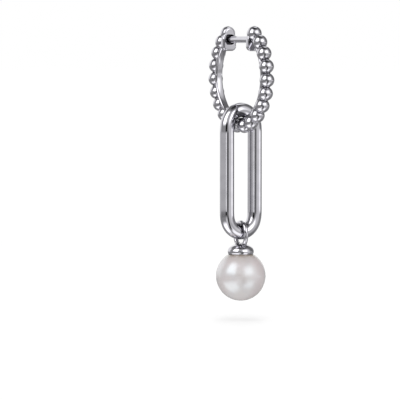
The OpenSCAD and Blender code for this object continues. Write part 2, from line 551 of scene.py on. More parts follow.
def by_bearing(line: np.ndarray, bearings: np.ndarray) -> tuple[np.ndarray, np.ndarray]:
    """Samples a closed line round the origin at given bearings, so that two outlines pair up.

    Args:
        line: the closed line, anticlockwise.
        bearings: the bearings from the origin, in radians.

    Returns:
        The points and their outward normals.
    """
    normals = outward(line)
    angle = np.arctan2(line[:, 1], line[:, 0])
    order = np.argsort(angle)
    wrapped = (bearings + math.pi) % (2 * math.pi) - math.pi
    found = [
        np.interp(wrapped, angle[order], values[order, k], period=2 * math.pi)
        for values in (line, normals)
        for k in range(2)
    ]
    normal = np.stack(found[2:], 1)
    return np.stack(found[:2], 1), normal / np.linalg.norm(normal, axis=1)[:, None]


def oval(
    bend_r: float, upper: float, lower: float, ease: float, steps: int, samples: int = 17
) -> tuple[np.ndarray, np.ndarray]:
    """The middle line of a wire bent to an oval: two half circles and two straight sides.

    The outward direction turns at an even rate round each bend and stands still along each side. Its angle
    is averaged over a short length, as a bent wire eases into its bends, and the middle line is the running
    sum of steps at a right angle to it. The sum is then fitted exactly between its four outermost points.

    Args:
        bend_r: the radius of the bends.
        upper: the height of the upper bend's centre.
        lower: the height of the lower bend's centre.
        ease: the length over which a bend comes in.
        steps: the even number of steps along the whole line.
        samples: how many places the average is taken over.

    Returns:
        The middle line and its outward direction, each as sideways and height.
    """
    bend, side = math.pi * bend_r, upper - lower
    total = 2 * (bend + side)
    corners = np.cumsum([0, bend, side, bend, side])
    along = (np.arange(steps) + 0.5) * total / steps
    angle = np.zeros(steps)
    turned = [0, math.pi, math.pi, 2 * math.pi, 2 * math.pi]
    for shift in np.linspace(-ease / 2, ease / 2, samples):
        loops, rest = np.divmod(along + shift, total)
        angle += np.interp(rest, corners, turned) + loops * 2 * math.pi
    angle /= samples
    out = np.stack([np.cos(angle), np.sin(angle)], 1)
    ahead = np.stack([-out[:, 1], out[:, 0]], 1)
    middle = np.cumsum((ahead + np.roll(ahead, 1, 0)) / 2, 0)
    low, high = middle.min(0), middle.max(0)
    middle = (middle - (low + high) / 2) / (high - low)
    size = np.array([2 * bend_r, upper - lower + 2 * bend_r])
    return middle * size + np.array([0, (upper + lower) / 2]), out


def round_wire(line: np.ndarray, out: np.ndarray, radius: np.ndarray | float, columns: int) -> np.ndarray:
    """A round wire along a flat line: at each of its points, a circle in the outward and third direction.

    Args:
        line: the wire's middle, as sideways and height.
        out: the line's outward direction.
        radius: the wire's radius, one number or one to a row.
        columns: the points round the wire.

    Returns:
        The grid of points, as sideways, off the line's plane, and height.
    """
    turn = ring(columns)
    reach = radius * np.cos(turn)
    sideways = line[:, :1] + out[:, :1] * reach
    height = line[:, 1:] + out[:, 1:] * reach
    return np.stack([sideways, radius * np.sin(turn) + 0 * sideways, height], 2)


def revolve(profile: np.ndarray, count: int) -> np.ndarray:
    """Turns a profile of radius and height about the Z axis into a grid of points.

    Args:
        profile: rows of radius and height.
        count: the points round the axis.

    Returns:
        The grid, as X, Y and Z.
    """
    turn = ring(count)
    radius, height = profile[:, :1], profile[:, 1:]
    return np.stack([radius * np.cos(turn), radius * np.sin(turn), height + 0 * turn], 2)


@dataclass(frozen=True)
class HoopSizes:
    """The hoop's driving sizes, and how wide and dark the painted shade in its soldered creases is."""

    drop: float = 5.46
    bead_circle_r: float = 7.44
    bead_r: float = 1.11
    beads: int = 10
    bead_step: float = 15.68
    neck_fillet: float = 0.045
    # Widths and strengths of the painted shade at the necks between beads and at the seams with the band.
    neck_crease: float = 0.13
    neck_dark: float = 0.9
    seam_crease: float = 0.07
    seam_inset: float = 0.1
    seam_dark: float = 0.45
    band_r: float = 6.24
    band_t: float = 0.6
    band_w: float = 1.2
    band_edge_r: float = 0.26
    band_dome: float = 0.05
    mouth: float = 6.3
    plate_w: float = 2.32
    plate_round_r: float = 0.88
    plate_taper_z: float = 0.1
    plate_t: float = 0.8
    plate_top: float = 1.86
    plate_drop: float = 1.7
    plate_corner_r: float = 0.7
    plate_side_r: float = 0.5
    plate_edge_r: float = 0.3
    plate_least_edge_r: float = 0.1
    plate_rear_edge_r: float = 0.12
    plate_ledge: float = 0.09
    socket_w: float = 1.36
    socket_h: float = 1.5
    socket_depth: float = 0.72
    socket_corner_r: float = 0.35
    socket_lip_r: float = 0.06
    slot_margin: float = 0.14
    below_face: float = 0.06
    below_floor: float = 0.03
    hinge_circle_r: float = 7.62
    hinge_gap: float = 0.06
    knuckle_r: float = 0.52
    knuckle_room: float = 0.08
    knuckle_side_room: float = 0.08
    bore_room: float = 0.03
    middle_knuckle_w: float = 0.54
    barrel_w: float = 1.6
    bore_r: float = 0.27
    knuckle_edge_r: float = 0.06

    @property
    def face_y(self) -> float:
        """How far the flat face of an end stands from the middle plane."""
        return self.mouth / 2

    @property
    def hinge_z(self) -> float:
        """The height of the hinge pin."""
        return -self.drop - self.hinge_circle_r


@dataclass
class HoopHalf:
    """One half of the hoop: band, beads, end plate and knuckles, and on the front half the ear post.

    The guards are how far the extra rings beside a rounded edge or a lip stand from it, so that the flat
    stretches next to it are shaded flat.
    """

    side: Side
    silver: bpy.types.Material
    sizes: HoopSizes = field(default_factory=HoopSizes)
    band_rows: int = 150
    band_corner_steps: int = 6
    band_column_width: float = 0.09
    bead_rows: int = 34
    end_rows: int = 8
    bead_columns: int = 96
    cut_rings: int = 12
    outline_columns: int = 240
    outline_shift: float = 0.013
    plate_corner_steps: int = 24
    edge_steps: int = 6
    face_guard: float = 0.04
    side_guard: float = 0.03
    slot_corner_steps: int = 16
    lip_steps: int = 5
    lip_guard: float = 0.05
    floor_ring: float = 0.12
    knuckle_corner_steps: int = 5
    knuckle_columns: int = 64

    @property
    def body(self) -> str:
        """The body and node of this half."""
        return "front_half" if self.side is Side.FRONT else "back_half"

    def place(self, across: np.ndarray, along: np.ndarray, height: np.ndarray) -> np.ndarray:
        """Puts arrays of X, distance from the middle plane and Z on this half's side."""
        return np.stack(np.broadcast_arrays(across, along * self.side.value, height), -1)

    def build(self) -> None:
        """Builds all pieces of this half."""
        name = self.body.split("_")[0]
        pieces = {
            "band": [self.band()],
            "beads": [self.bead_row()],
            "plate": [self.end_plate()],
            "knuckles": self.knuckles(),
        }
        if self.side is Side.FRONT:
            pieces["post"] = [EarPost(self.sizes).skin()]
        for part, skins in pieces.items():
            piece = make_piece(f"{name}_{part}", skins, self.body, self.body)
            piece.data.materials.append(self.silver)

    def band(self) -> Skin:
        """The plain band: a rounded rectangle carried along the hoop's arc, up into the end plate.

        Its inside is domed: away from the middle of its width it moves outwards, by the dome times the
        square of the share of half the width.

        Returns:
            The band.
        """
        s = self.sizes
        half_t, half_w = s.band_t / 2, s.band_w / 2
        corners = [(-half_t, -half_w), (half_t, -half_w), (half_t, half_w), (-half_t, half_w)]
        outline = rounded_line(corners, [s.band_edge_r] * 4, True, self.band_corner_steps)
        profile = filled_in(outline, self.band_column_width)
        inner = np.clip(-profile[:, 0] / half_t, 0, 1)
        profile[:, 0] += inner * s.band_dome * (profile[:, 1] / half_w) ** 2
        middle_r = s.band_r + half_t
        last = math.pi - math.asin((s.face_y + s.plate_t / 2) / middle_r)
        turn = np.linspace(0, last, self.band_rows)[:, None]
        radius = middle_r + profile[:, 0]
        across, height = profile[:, 1], -s.drop - radius * np.cos(turn)
        along = np.maximum(radius * np.sin(turn), self.stop(across, height))
        return Skin(self.place(across, along, height))

    def stop(self, across: np.ndarray, height: np.ndarray) -> np.ndarray:
        """How near points of the band and beads may come to the middle plane.

        They stop at the flat cut at the hinge, just below the face of the end plate, and on the back half
        behind the floor of the slot.

        Args:
            across: X of each point.
            height: Z of each point.

        Returns:
            The least distance of each point from the middle plane.
        """
        s = self.sizes
        least = np.where(height > -s.drop, s.face_y + s.below_face, s.hinge_gap / 2)
        if self.side is Side.FRONT:
            return least
        half_w, half_h = s.socket_w / 2 + s.slot_margin, s.socket_h / 2 + s.slot_margin
        over_slot = (np.abs(across) < half_w) & (np.abs(height) < half_h)
        return np.where(over_slot, s.face_y + s.socket_depth + s.below_floor, least)

    def bead_row(self) -> Skin:
        """The soldered row of round beads, as one surface.

        Along each bead an angle runs from neck to neck, and the ring there is that of a ball cut by a plane
        through the hoop's axis. The distance from a neck is rounded off, so each neck is a small fillet.
        The flat cut at the hinge is filled by rings that grow from its middle. Points past the flat cuts,
        or inside the room for the other half's knuckles, stop at those. The necks and the seams along the
        band are marked with painted shade, which fades as a bell curve of the distance.

        Returns:
            The beads.
        """
        s = self.sizes
        step = math.radians(s.bead_step)
        neck = math.asin(s.bead_circle_r * math.sin(step / 2) / s.bead_r)
        share = np.linspace(-1, 1, self.bead_rows + 1)
        inner = neck * np.sin(share[:-1] * math.pi / 2)
        final = np.concatenate([inner, np.linspace(neck, math.pi / 2, self.end_rows)])
        cut = np.full(self.cut_rings, -neck)
        local = np.concatenate([cut, np.tile(inner, s.beads - 1), final])
        each = [len(cut) + len(inner)] + [len(inner)] * (s.beads - 2) + [len(final)]
        number = np.repeat(np.arange(s.beads), each)
        filled = np.ones(len(local))
        filled[:self.cut_rings] = np.arange(1, self.cut_rings + 1) / (self.cut_rings + 1)
        past_neck = (number == s.beads - 1) & (local > 0)
        neck_distance = s.bead_r * (neck - np.abs(local))
        rounded = np.sqrt(neck_distance**2 + s.neck_fillet**2)
        eased = np.where(past_neck, local, np.abs(neck - rounded / s.bead_r))
        offset = np.arcsin(s.bead_r * np.sin(local) / s.bead_circle_r)
        turn = ((number + 0.5) * step + offset)[:, None]
        ring_r = (s.bead_r * np.cos(eased) * filled)[:, None]
        around = ring(self.bead_columns)
        radius = (s.bead_circle_r * np.cos(offset))[:, None] + ring_r * np.cos(around)
        across = ring_r * np.sin(around)
        along, height = radius * np.sin(turn), -s.drop - radius * np.cos(turn)
        along = np.maximum(along, self.stop(across, height))
        along = self.clear_of_knuckles(across, along, height)
        # Painted shade: darkest at each neck between beads and along the seams where the beads meet the
        # band.
        neck_shade = np.exp(-((neck_distance / s.neck_crease) ** 2)) * ~past_neck
        beside_band = np.abs(across) > s.band_w / 2 - s.seam_inset
        seam_shade = np.exp(-(((radius - s.band_r - s.band_t) / s.seam_crease) ** 2)) * beside_band
        marks = {"crease": np.maximum(neck_shade[:, None] * s.neck_dark, seam_shade * s.seam_dark)}
        return Skin(self.place(across, along, height), marks=marks)

    def clear_of_knuckles(self, across: np.ndarray, along: np.ndarray, height: np.ndarray) -> np.ndarray:
        """Moves points away from the middle plane where the other half's knuckles turn, and off the pin.

        A point at a height h above the pin stays at least the root of reach squared less h squared away.

        Args:
            across: X of each point.
            along: distance of each point from the middle plane.
            height: Z of each point.

        Returns:
            The new distances from the middle plane.
        """
        s = self.sizes
        half_middle = s.middle_knuckle_w / 2
        if self.side is Side.FRONT:
            other = np.abs(across) < half_middle + s.knuckle_side_room
        else:
            other = np.abs(across) > half_middle + s.hinge_gap - s.knuckle_side_room
        reach = np.where(other, s.knuckle_r + s.knuckle_room, s.bore_r + s.bore_room)
        needed = np.sqrt(np.clip(reach**2 - (height - s.hinge_z) ** 2, 0, None))
        return np.maximum(along, needed)

    def end_plate(self) -> Skin:
        """The flat end plate with broken edges, and on the back half the blind slot for the post's tip.

        Rings run from the middle of the face, or of the slot's floor, outwards over the face, round the
        edge, along the side and back to the middle of the rear. A ring is an outline moved along its own
        normals, at a depth below the face. Beside the slot the face's rounded edge is as wide as the room
        allows. The outlines are sampled at bearings that are shifted a little, so that none falls on the
        line where the arctangent jumps.

        Returns:
            The plate.
        """
        s = self.sizes
        bearings = ring(self.outline_columns) + self.outline_shift
        plate, plate_out = by_bearing(self.plate_outline(), bearings)
        has_slot = self.side is Side.BACK
        edge = np.full(self.outline_columns, s.plate_edge_r)
        if has_slot:
            slot, _ = by_bearing(self.slot_outline(), bearings)
            between = np.linalg.norm(plate, axis=1) - np.linalg.norm(slot, axis=1)
            edge = np.clip(between - s.socket_lip_r - s.plate_ledge, s.plate_least_edge_r, s.plate_edge_r)
        rear = np.full(self.outline_columns, s.plate_rear_edge_r)
        turned = quarter(self.edge_steps)
        inwards, down = (1 - wave(turned)[:, None] for wave in (np.sin, np.cos))
        offset = np.vstack([
            -edge - self.face_guard,
            -edge * inwards,
            0 * edge,
            0 * edge,
            -rear * inwards[::-1],
            -rear - self.face_guard,
        ])
        depth = np.vstack([
            0 * edge,
            edge * down,
            edge + self.side_guard,
            s.plate_t - rear - self.side_guard,
            s.plate_t - rear * down[::-1],
            s.plate_t + 0 * edge,
        ])
        rings = [self.ring_of(plate, plate_out, offset, depth)]
        # Painted shade: the slot's inside darkens over its lip and is fully dark below it.
        dark = [np.zeros(len(offset))]
        if has_slot:
            rings.insert(0, self.slot_rings(bearings))
            inside = (rings[0][:, 0, 1] - s.face_y) / s.socket_lip_r
            dark.insert(0, np.clip(inside, 0, 1))
        marks = np.concatenate(dark)[:, None] + np.zeros(self.outline_columns)
        return Skin(np.concatenate(rings), marks={"crease": marks})

    def ring_of(
        self, line: np.ndarray, out: np.ndarray, offset: np.ndarray, depth: np.ndarray
    ) -> np.ndarray:
        """Rings of an outline, moved outwards by each offset, at each depth below the face.

        Args:
            line: the outline.
            out: its outward normals.
            offset: how far each ring moves outwards, a row for each ring.
            depth: how far each ring is below the face.

        Returns:
            The rings' points, in place.
        """
        moved = line + out * offset[..., None]
        return self.place(moved[..., 0], self.sizes.face_y + depth, moved[..., 1])

    def slot_rings(self, bearings: np.ndarray) -> np.ndarray:
        """The rings of the slot, from its floor up to its rounded lip.

        Args:
            bearings: the bearings of the columns, in radians.

        Returns:
            The rings' points, in place.
        """
        s = self.sizes
        line, out = by_bearing(self.slot_outline(), bearings)
        turned = quarter(self.lip_steps)
        lip, floor = s.socket_lip_r, s.socket_depth
        offset = np.concatenate([
            [-self.floor_ring, -self.side_guard, 0, 0],
            lip * (1 - np.cos(turned)),
            [lip + self.side_guard],
        ])
        depth = np.concatenate([
            [floor, floor, floor - self.side_guard, lip + self.lip_guard],
            lip * (1 - np.sin(turned)),
            [0],
        ])
        return self.ring_of(line, out, offset[:, None], depth[:, None])

    def slot_outline(self) -> np.ndarray:
        """The slot's outline: a rectangle with round corners.

        Returns:
            The outline as X and Z, anticlockwise.
        """
        s = self.sizes
        half_w, half_h = s.socket_w / 2, s.socket_h / 2
        corners = [(-half_w, -half_h), (half_w, -half_h), (half_w, half_h), (-half_w, half_h)]
        return rounded_line(corners, [s.socket_corner_r] * 4, True, self.slot_corner_steps)

    def plate_outline(self) -> np.ndarray:
        """The plate's outline: round lower corners, sides that taper a little, and a round top.

        The tapering side is the tangent from the widest place to the top's arc, whose two upper corners are
        where that tangent meets the level line over the top.

        Returns:
            The outline as X and Z, anticlockwise.
        """
        s = self.sizes
        half_w = s.plate_w / 2
        round_z = s.plate_top - s.plate_round_r
        narrowing = round_z - s.plate_taper_z
        taper = math.acos(s.plate_round_r / math.hypot(half_w, narrowing)) - math.atan2(narrowing, half_w)
        half_corner = (math.pi / 2 - taper) / 2
        bearing = (math.pi / 2 + taper) / 2
        corner_x = s.plate_round_r / math.cos(half_corner) * math.cos(bearing)
        corners = [
            (-half_w, -s.plate_drop),
            (half_w, -s.plate_drop),
            (half_w, s.plate_taper_z),
            (corner_x, s.plate_top),
            (-corner_x, s.plate_top),
            (-half_w, s.plate_taper_z),
        ]
        lower, side, upper = s.plate_corner_r, s.plate_side_r, s.plate_round_r
        radii = [lower, lower, side, upper, upper, side]
        return rounded_line(corners, radii, True, self.plate_corner_steps)

    def knuckles(self) -> list[Skin]:
        """The hinge knuckles of this half: short tubes round the pin, with rounded edges.

        Returns:
            The middle knuckle of the back half, or the two outer ones of the front half.
        """
        s = self.sizes
        outer_w = (s.barrel_w - s.middle_knuckle_w - s.hinge_gap) / 2
        if self.side is Side.BACK:
            return [self.knuckle(0.0, s.middle_knuckle_w)]
        return [self.knuckle(sign * (s.barrel_w - outer_w) / 2, outer_w) for sign in (-1, 1)]

    def knuckle(self, middle: float, width: float) -> Skin:
        """One knuckle: a rounded rectangle of radius and X, turned about the hinge's axis.

        Args:
            middle: X of its middle.
            width: its size along X.

        Returns:
            The knuckle.
        """
        s = self.sizes
        low, high = middle - width / 2, middle + width / 2
        corners = [(s.bore_r, low), (s.knuckle_r, low), (s.knuckle_r, high), (s.bore_r, high)]
        profile = rounded_line(corners, [s.knuckle_edge_r] * 4, True, self.knuckle_corner_steps)
        turn = ring(self.knuckle_columns)
        radius, across = profile[:, :1], profile[:, 1:] + 0 * turn
        points = np.stack([across, radius * np.cos(turn), s.hinge_z + radius * np.sin(turn)], 2)
        return Skin(points, closed=True)


@dataclass(frozen=True)
class EarPost:
    """The straight ear post, with a soldered foot, and a groove near its tapered tip."""

    hoop: HoopSizes
    radius: float = 0.5
    root: float = 0.3
    foot_r: float = 0.76
    foot_sunk: float = 0.1
    foot_rise: float = 0.09
    foot_edge_r: float = 0.04
    foot_hollow_r: float = 0.2
    groove_start: float = 0.1
    groove_r: float = 0.4
    groove_len: float = 0.2
    groove_edge_r: float = 0.05
    groove_floor_r: float = 0.04
    tip_r: float = 0.48
    tip_len: float = 0.35
    tip_end_r: float = 0.38
    tip_edge_r: float = 0.1
    columns: int = 72

    def skin(self) -> Skin:
        """A rounded line of radius and distance along the post, turned about the post's axis.

        Returns:
            The post.
        """
        face = self.hoop.face_y
        groove = face + self.groove_start
        tip = groove + self.groove_len
        end = tip + self.tip_len
        corners = [
            (0.0, -face - self.root),
            (self.foot_r, -face - self.foot_sunk),
            (self.radius, -face + self.foot_rise),
            (self.radius, groove),
            (self.groove_r, groove + self.groove_len / 2),
            (self.tip_r, tip),
            (self.tip_end_r, end),
            (0.0, end),
        ]
        foot, hollow, edge = self.foot_edge_r, self.foot_hollow_r, self.groove_edge_r
        radii = [0, foot, hollow, edge, self.groove_floor_r, edge, self.tip_edge_r, 0]
        grid = revolve(rounded_line(corners, radii, False), self.columns)
        return Skin(grid[:, :, [0, 2, 1]])


@dataclass(frozen=True)
class LinkSizes:
    """The long link's driving sizes, and where it hangs in the hoop."""

    hoop: HoopSizes = field(default_factory=HoopSizes)
    wire_r: float = 1.08
    width: float = 7.0
    length: float = 20.54
    gap: float = 0.115
    ease: float = 2.2

    @property
    def bend_r(self) -> float:
        """The radius of the wire's middle round each bend."""
        return self.width / 2 - self.wire_r

    @property
    def upper_z(self) -> float:
        """The height of the upper bend's centre, with the wire a small gap above the inside of the band."""
        top_z = -self.hoop.drop - self.hoop.band_r + self.gap + 2 * self.wire_r
        return top_z - self.width / 2

    @property
    def lower_z(self) -> float:
        """The height of the lower bend's centre."""
        return self.upper_z + self.width - self.length

    @property
    def seat_z(self) -> float:
        """The height of the wire's middle at the bottom, where the bail hangs."""
        return self.lower_z - self.bend_r


@dataclass
class LongLink:
    """The long oval link of round wire."""

    silver: bpy.types.Material
    sizes: LinkSizes = field(default_factory=LinkSizes)
    rows: int = 384
    columns: int = 96

    def build(self) -> None:
        """Builds the link: a round wire bent to an oval, across the hoop's plane."""
        s = self.sizes
        middle, out = oval(s.bend_r, s.upper_z, s.lower_z, s.ease, self.rows)
        skin = Skin(round_wire(middle, out, s.wire_r, self.columns), closed=True)
        piece = make_piece("link", [skin], "long_link", "long_link")
        piece.data.materials.append(self.silver)


@dataclass(frozen=True)
class DropSizes:
    """The driving sizes of the bail, cap and pearl, and the places that follow from them."""

    link: LinkSizes = field(default_factory=LinkSizes)
    bail_wire_r: float = 0.34
    bail_r: float = 1.83
    bail_side: float = 0.53
    bail_gap: float = 0.03
    bail_sink: float = 0.74
    bail_ease: float = 0.3
    cap_r: float = 1.97
    cap_crown: float = 1.21
    cap_shoulder_r: float = 0.85
    cap_rim: float = 0.4
    cap_gap: float = 0.02
    peg_r: float = 0.4
    peg_clearance: float = 0.03
    peg_root: float = 0.1
    peg_end_gap: float = 0.1
    peg_edge_r: float = 0.08
    pearl_r: float = 3.75
    pearl_hole: float = 5.0

    @property
    def bail_bend_r(self) -> float:
        """The radius of the bail wire's middle round each bend."""
        return self.bail_r - self.bail_wire_r

    @property
    def bail_upper(self) -> float:
        """The height of the bail's upper centre: its wire passes a small gap above the link's."""
        inside_top = self.link.seat_z + self.link.wire_r + self.bail_gap
        return inside_top - (self.bail_bend_r - self.bail_wire_r)

    @property
    def bail_lower(self) -> float:
        """The height of the bail's lower centre."""
        return self.bail_upper - self.bail_side

    @property
    def cap_top(self) -> float:
        """The height of the crown's top, which the bail's foot is sunk into."""
        return self.bail_lower - self.bail_r + self.bail_sink

    @property
    def cap_wide(self) -> float:
        """The height at which the cap is widest, and at which its shoulder's arc has its centre."""
        return self.cap_top - self.cap_crown

    @property
    def shoulder_x(self) -> float:
        """How far the centre of the shoulder's arc is from the axis."""
        return self.cap_r - self.cap_shoulder_r

    @property
    def crown_r(self) -> float:
        """The radius of the crown's arc, which touches the shoulder's and has its centre on the axis."""
        rise = self.cap_crown - self.cap_shoulder_r
        return (self.shoulder_x**2 - rise**2) / (2 * rise) + self.cap_crown

    @property
    def rim_z(self) -> float:
        """The height of the cap's lower rim."""
        return self.cap_wide - self.cap_rim

    @property
    def rim_x(self) -> float:
        """The radius of the cap's lower rim."""
        return self.shoulder_x + math.sqrt(self.cap_shoulder_r**2 - self.cap_rim**2)

    @property
    def pearl_z(self) -> float:
        """The height of the pearl's middle: its surface is the cap's gap away from the rim."""
        return self.rim_z - math.sqrt((self.pearl_r + self.cap_gap) ** 2 - self.rim_x**2)

    @property
    def hole_floor(self) -> float:
        """The height of the floor of the pearl's hole."""
        return self.pearl_z + self.pearl_r - self.pearl_hole


@dataclass
class PearlDrop:
    """The pearl, its domed cap with a peg, and the bail soldered on top.

    The pearl's radius dips by up to its unevenness: twice round it by the oval share, and along its height
    by the waist share.
    """

    silver: bpy.types.Material
    nacre: bpy.types.Material
    sizes: DropSizes = field(default_factory=DropSizes)
    crown_rows: int = 70
    shoulder_rows: int = 40
    hollow_rows: int = 20
    solder_rows: int = 90
    cap_columns: int = 192
    bail_rows: int = 200
    bail_columns: int = 40
    pearl_rows: int = 180
    pearl_columns: int = 240
    solder_height: float = 0.09
    solder_spread: float = 0.13
    flare: float = 0.07
    flare_spread: float = 0.16
    # Width and strength of the painted shade along the cap's lower rim.
    rim_crease: float = 0.06
    rim_dark: float = 0.5
    unevenness: float = 0.012
    oval_share: float = 0.6
    oval_turn: float = 1.0
    waist_share: float = 0.4
    waist_waves: float = 3.0
    waist_shift: float = 0.5
    # How dark and how far down the painted shadow of the cap reaches on the pearl: a narrow band and a wide
    # faint one.
    contact_dark: float = 0.72
    contact_reach: float = 0.3
    fringe_dark: float = 0.12
    fringe_reach: float = 0.9

    def build(self) -> None:
        """Builds the cap, the bail and the pearl."""
        for name, skin in (("cap", self.cap()), ("bail", self.bail())):
            piece = make_piece(name, [skin], "pearl_drop", "pearl_cap")
            piece.data.materials.append(self.silver)
        pearl = make_piece("round_pearl", [self.pearl()], "pearl_drop", "pearl")
        pearl.data.materials.append(self.nacre)

    def crown_height(self, radius: np.ndarray) -> np.ndarray:
        """The height of the crown's arc at a distance from the axis.

        Args:
            radius: distances from the axis.

        Returns:
            The height at each.
        """
        s = self.sizes
        inside = np.clip(s.crown_r**2 - radius**2, 0, None)
        return s.cap_top - s.crown_r + np.sqrt(inside)

    def bail_distance(self, points: np.ndarray) -> np.ndarray:
        """The distance of points from the surface of the bail's wire.

        The nearest centre of a bend is the one at the point's own height, held between the two bends.

        Args:
            points: places, as X, Y and Z.

        Returns:
            The distance of each, which is negative inside the wire.
        """
        s = self.sizes
        centre = np.clip(points[..., 2], s.bail_lower, s.bail_upper)
        from_centre = np.hypot(points[..., 1], points[..., 2] - centre)
        return np.hypot(points[..., 0], from_centre - s.bail_bend_r) - s.bail_wire_r

    def cap(self) -> Skin:
        """The cap and its peg: arcs of the crown, shoulder and hollow, turned about the pearl's axis.

        Round the feet of the bail the crown is raised by a height that fades with distance, as solder is.

        Returns:
            The cap.
        """
        s = self.sizes
        crown_z = s.cap_top - s.crown_r
        lean = math.degrees(math.atan2(s.cap_wide - crown_z, s.shoulder_x))
        rim_turn = -math.degrees(math.asin(s.cap_rim / s.cap_shoulder_r))
        hollow_r = s.pearl_r + s.cap_gap
        hollow_from = math.degrees(math.acos(s.rim_x / hollow_r))
        hollow_to = math.degrees(math.acos(s.peg_r / hollow_r))
        peg_end = s.hole_floor + s.peg_end_gap
        peg = [(s.peg_r, s.cap_wide - s.peg_root), (s.peg_r, peg_end), (0, peg_end)]
        profile = np.vstack([
            arc((0, crown_z), s.crown_r, 90, lean, self.crown_rows),
            arc((s.shoulder_x, s.cap_wide), s.cap_shoulder_r, lean, rim_turn, self.shoulder_rows)[1:],
            arc((0, s.pearl_z), hollow_r, hollow_from, hollow_to, self.hollow_rows),
            rounded_line(peg, [0, s.peg_edge_r, 0], False)[1:],
        ])
        points = revolve(profile, self.cap_columns)
        solder = np.exp(-np.clip(self.bail_distance(points), 0, None) / self.solder_spread)
        on_crown = np.arange(len(profile))[:, None] < self.solder_rows
        points[..., 2] += self.solder_height * solder**2 * on_crown
        # Painted shade along the cap's lower rim, where it meets the pearl.
        rim_shade = np.exp(-(((profile[:, 1] - s.rim_z) / self.rim_crease) ** 2))[:, None]
        return Skin(points, marks={"crease": self.rim_dark * rim_shade + np.zeros(self.cap_columns)})

    def bail(self) -> Skin:
        """The bail's wire, across the link, a little thicker where the solder climbs it.

        Returns:
            The bail.
        """
        s = self.sizes
        middle, out = oval(s.bail_bend_r, s.bail_upper, s.bail_lower, s.bail_ease, self.bail_rows)
        above = middle[:, 1] - self.crown_height(np.abs(middle[:, 0]))
        near_cap = np.exp(-np.clip(above, 0, None) / self.flare_spread) * (middle[:, 1] < s.bail_lower)
        radius = (s.bail_wire_r + self.flare * near_cap)[:, None]
        grid = round_wire(middle, out, radius, self.bail_columns)
        return Skin(grid[:, :, [1, 0, 2]], closed=True)

    def pearl(self) -> Skin:
        """The pearl with its drilled hole: a ball whose radius dips very slightly, as a real one's does.

        Under the cap's rim it is darkened by a painted shadow of the cap, from two bell curves of the
        height.

        Returns:
            The pearl.
        """
        s = self.sizes
        hole_r = s.peg_r + s.peg_clearance
        hole = [(0, s.hole_floor), (hole_r, s.hole_floor), (hole_r, s.pearl_z)]
        start = math.degrees(math.acos(hole_r / s.pearl_r))
        profile = np.vstack([hole, arc((0, s.pearl_z), s.pearl_r, start, -90, self.pearl_rows)])
        middle = np.array([0, 0, s.pearl_z])
        from_middle = revolve(profile, self.pearl_columns) - middle
        angle = np.arctan2(from_middle[..., 1], from_middle[..., 0])
        tilt = from_middle[..., 2] / s.pearl_r
        oval_dip = self.oval_share * np.sin(2 * angle + self.oval_turn) * (1 - tilt**2)
        waist_dip = self.waist_share * np.sin(self.waist_waves * tilt + self.waist_shift)
        outside = (np.arange(len(profile)) >= len(hole))[:, None]
        scale = 1 - self.unevenness * (1 + oval_dip + waist_dip) * outside / (2 * s.pearl_r)
        points = from_middle * scale[..., None] + middle
        # Painted shadow of the cap: a narrow dark band just under the rim and a wide faint one.
        from_rim = points[..., 2] - s.rim_z
        contact = self.contact_dark * np.exp(-((from_rim / self.contact_reach) ** 2))
        wide_cap_shadow = self.fringe_dark * np.exp(-((from_rim / self.fringe_reach) ** 2))
        return Skin(points, marks={"contact": contact + wide_cap_shadow})


@dataclass(frozen=True)
class Panel:
    """A soft light panel or a dark flag of the studio, as it is seen from the earring.

    Its angles are in degrees: the bearing to the right of the camera's, the height above level, half its
    width and half its height, and the edge over which it fades. The light is what it holds.
    """

    bearing: float
    height: float
    half_wide: float
    half_high: float
    edge: float
    light: float


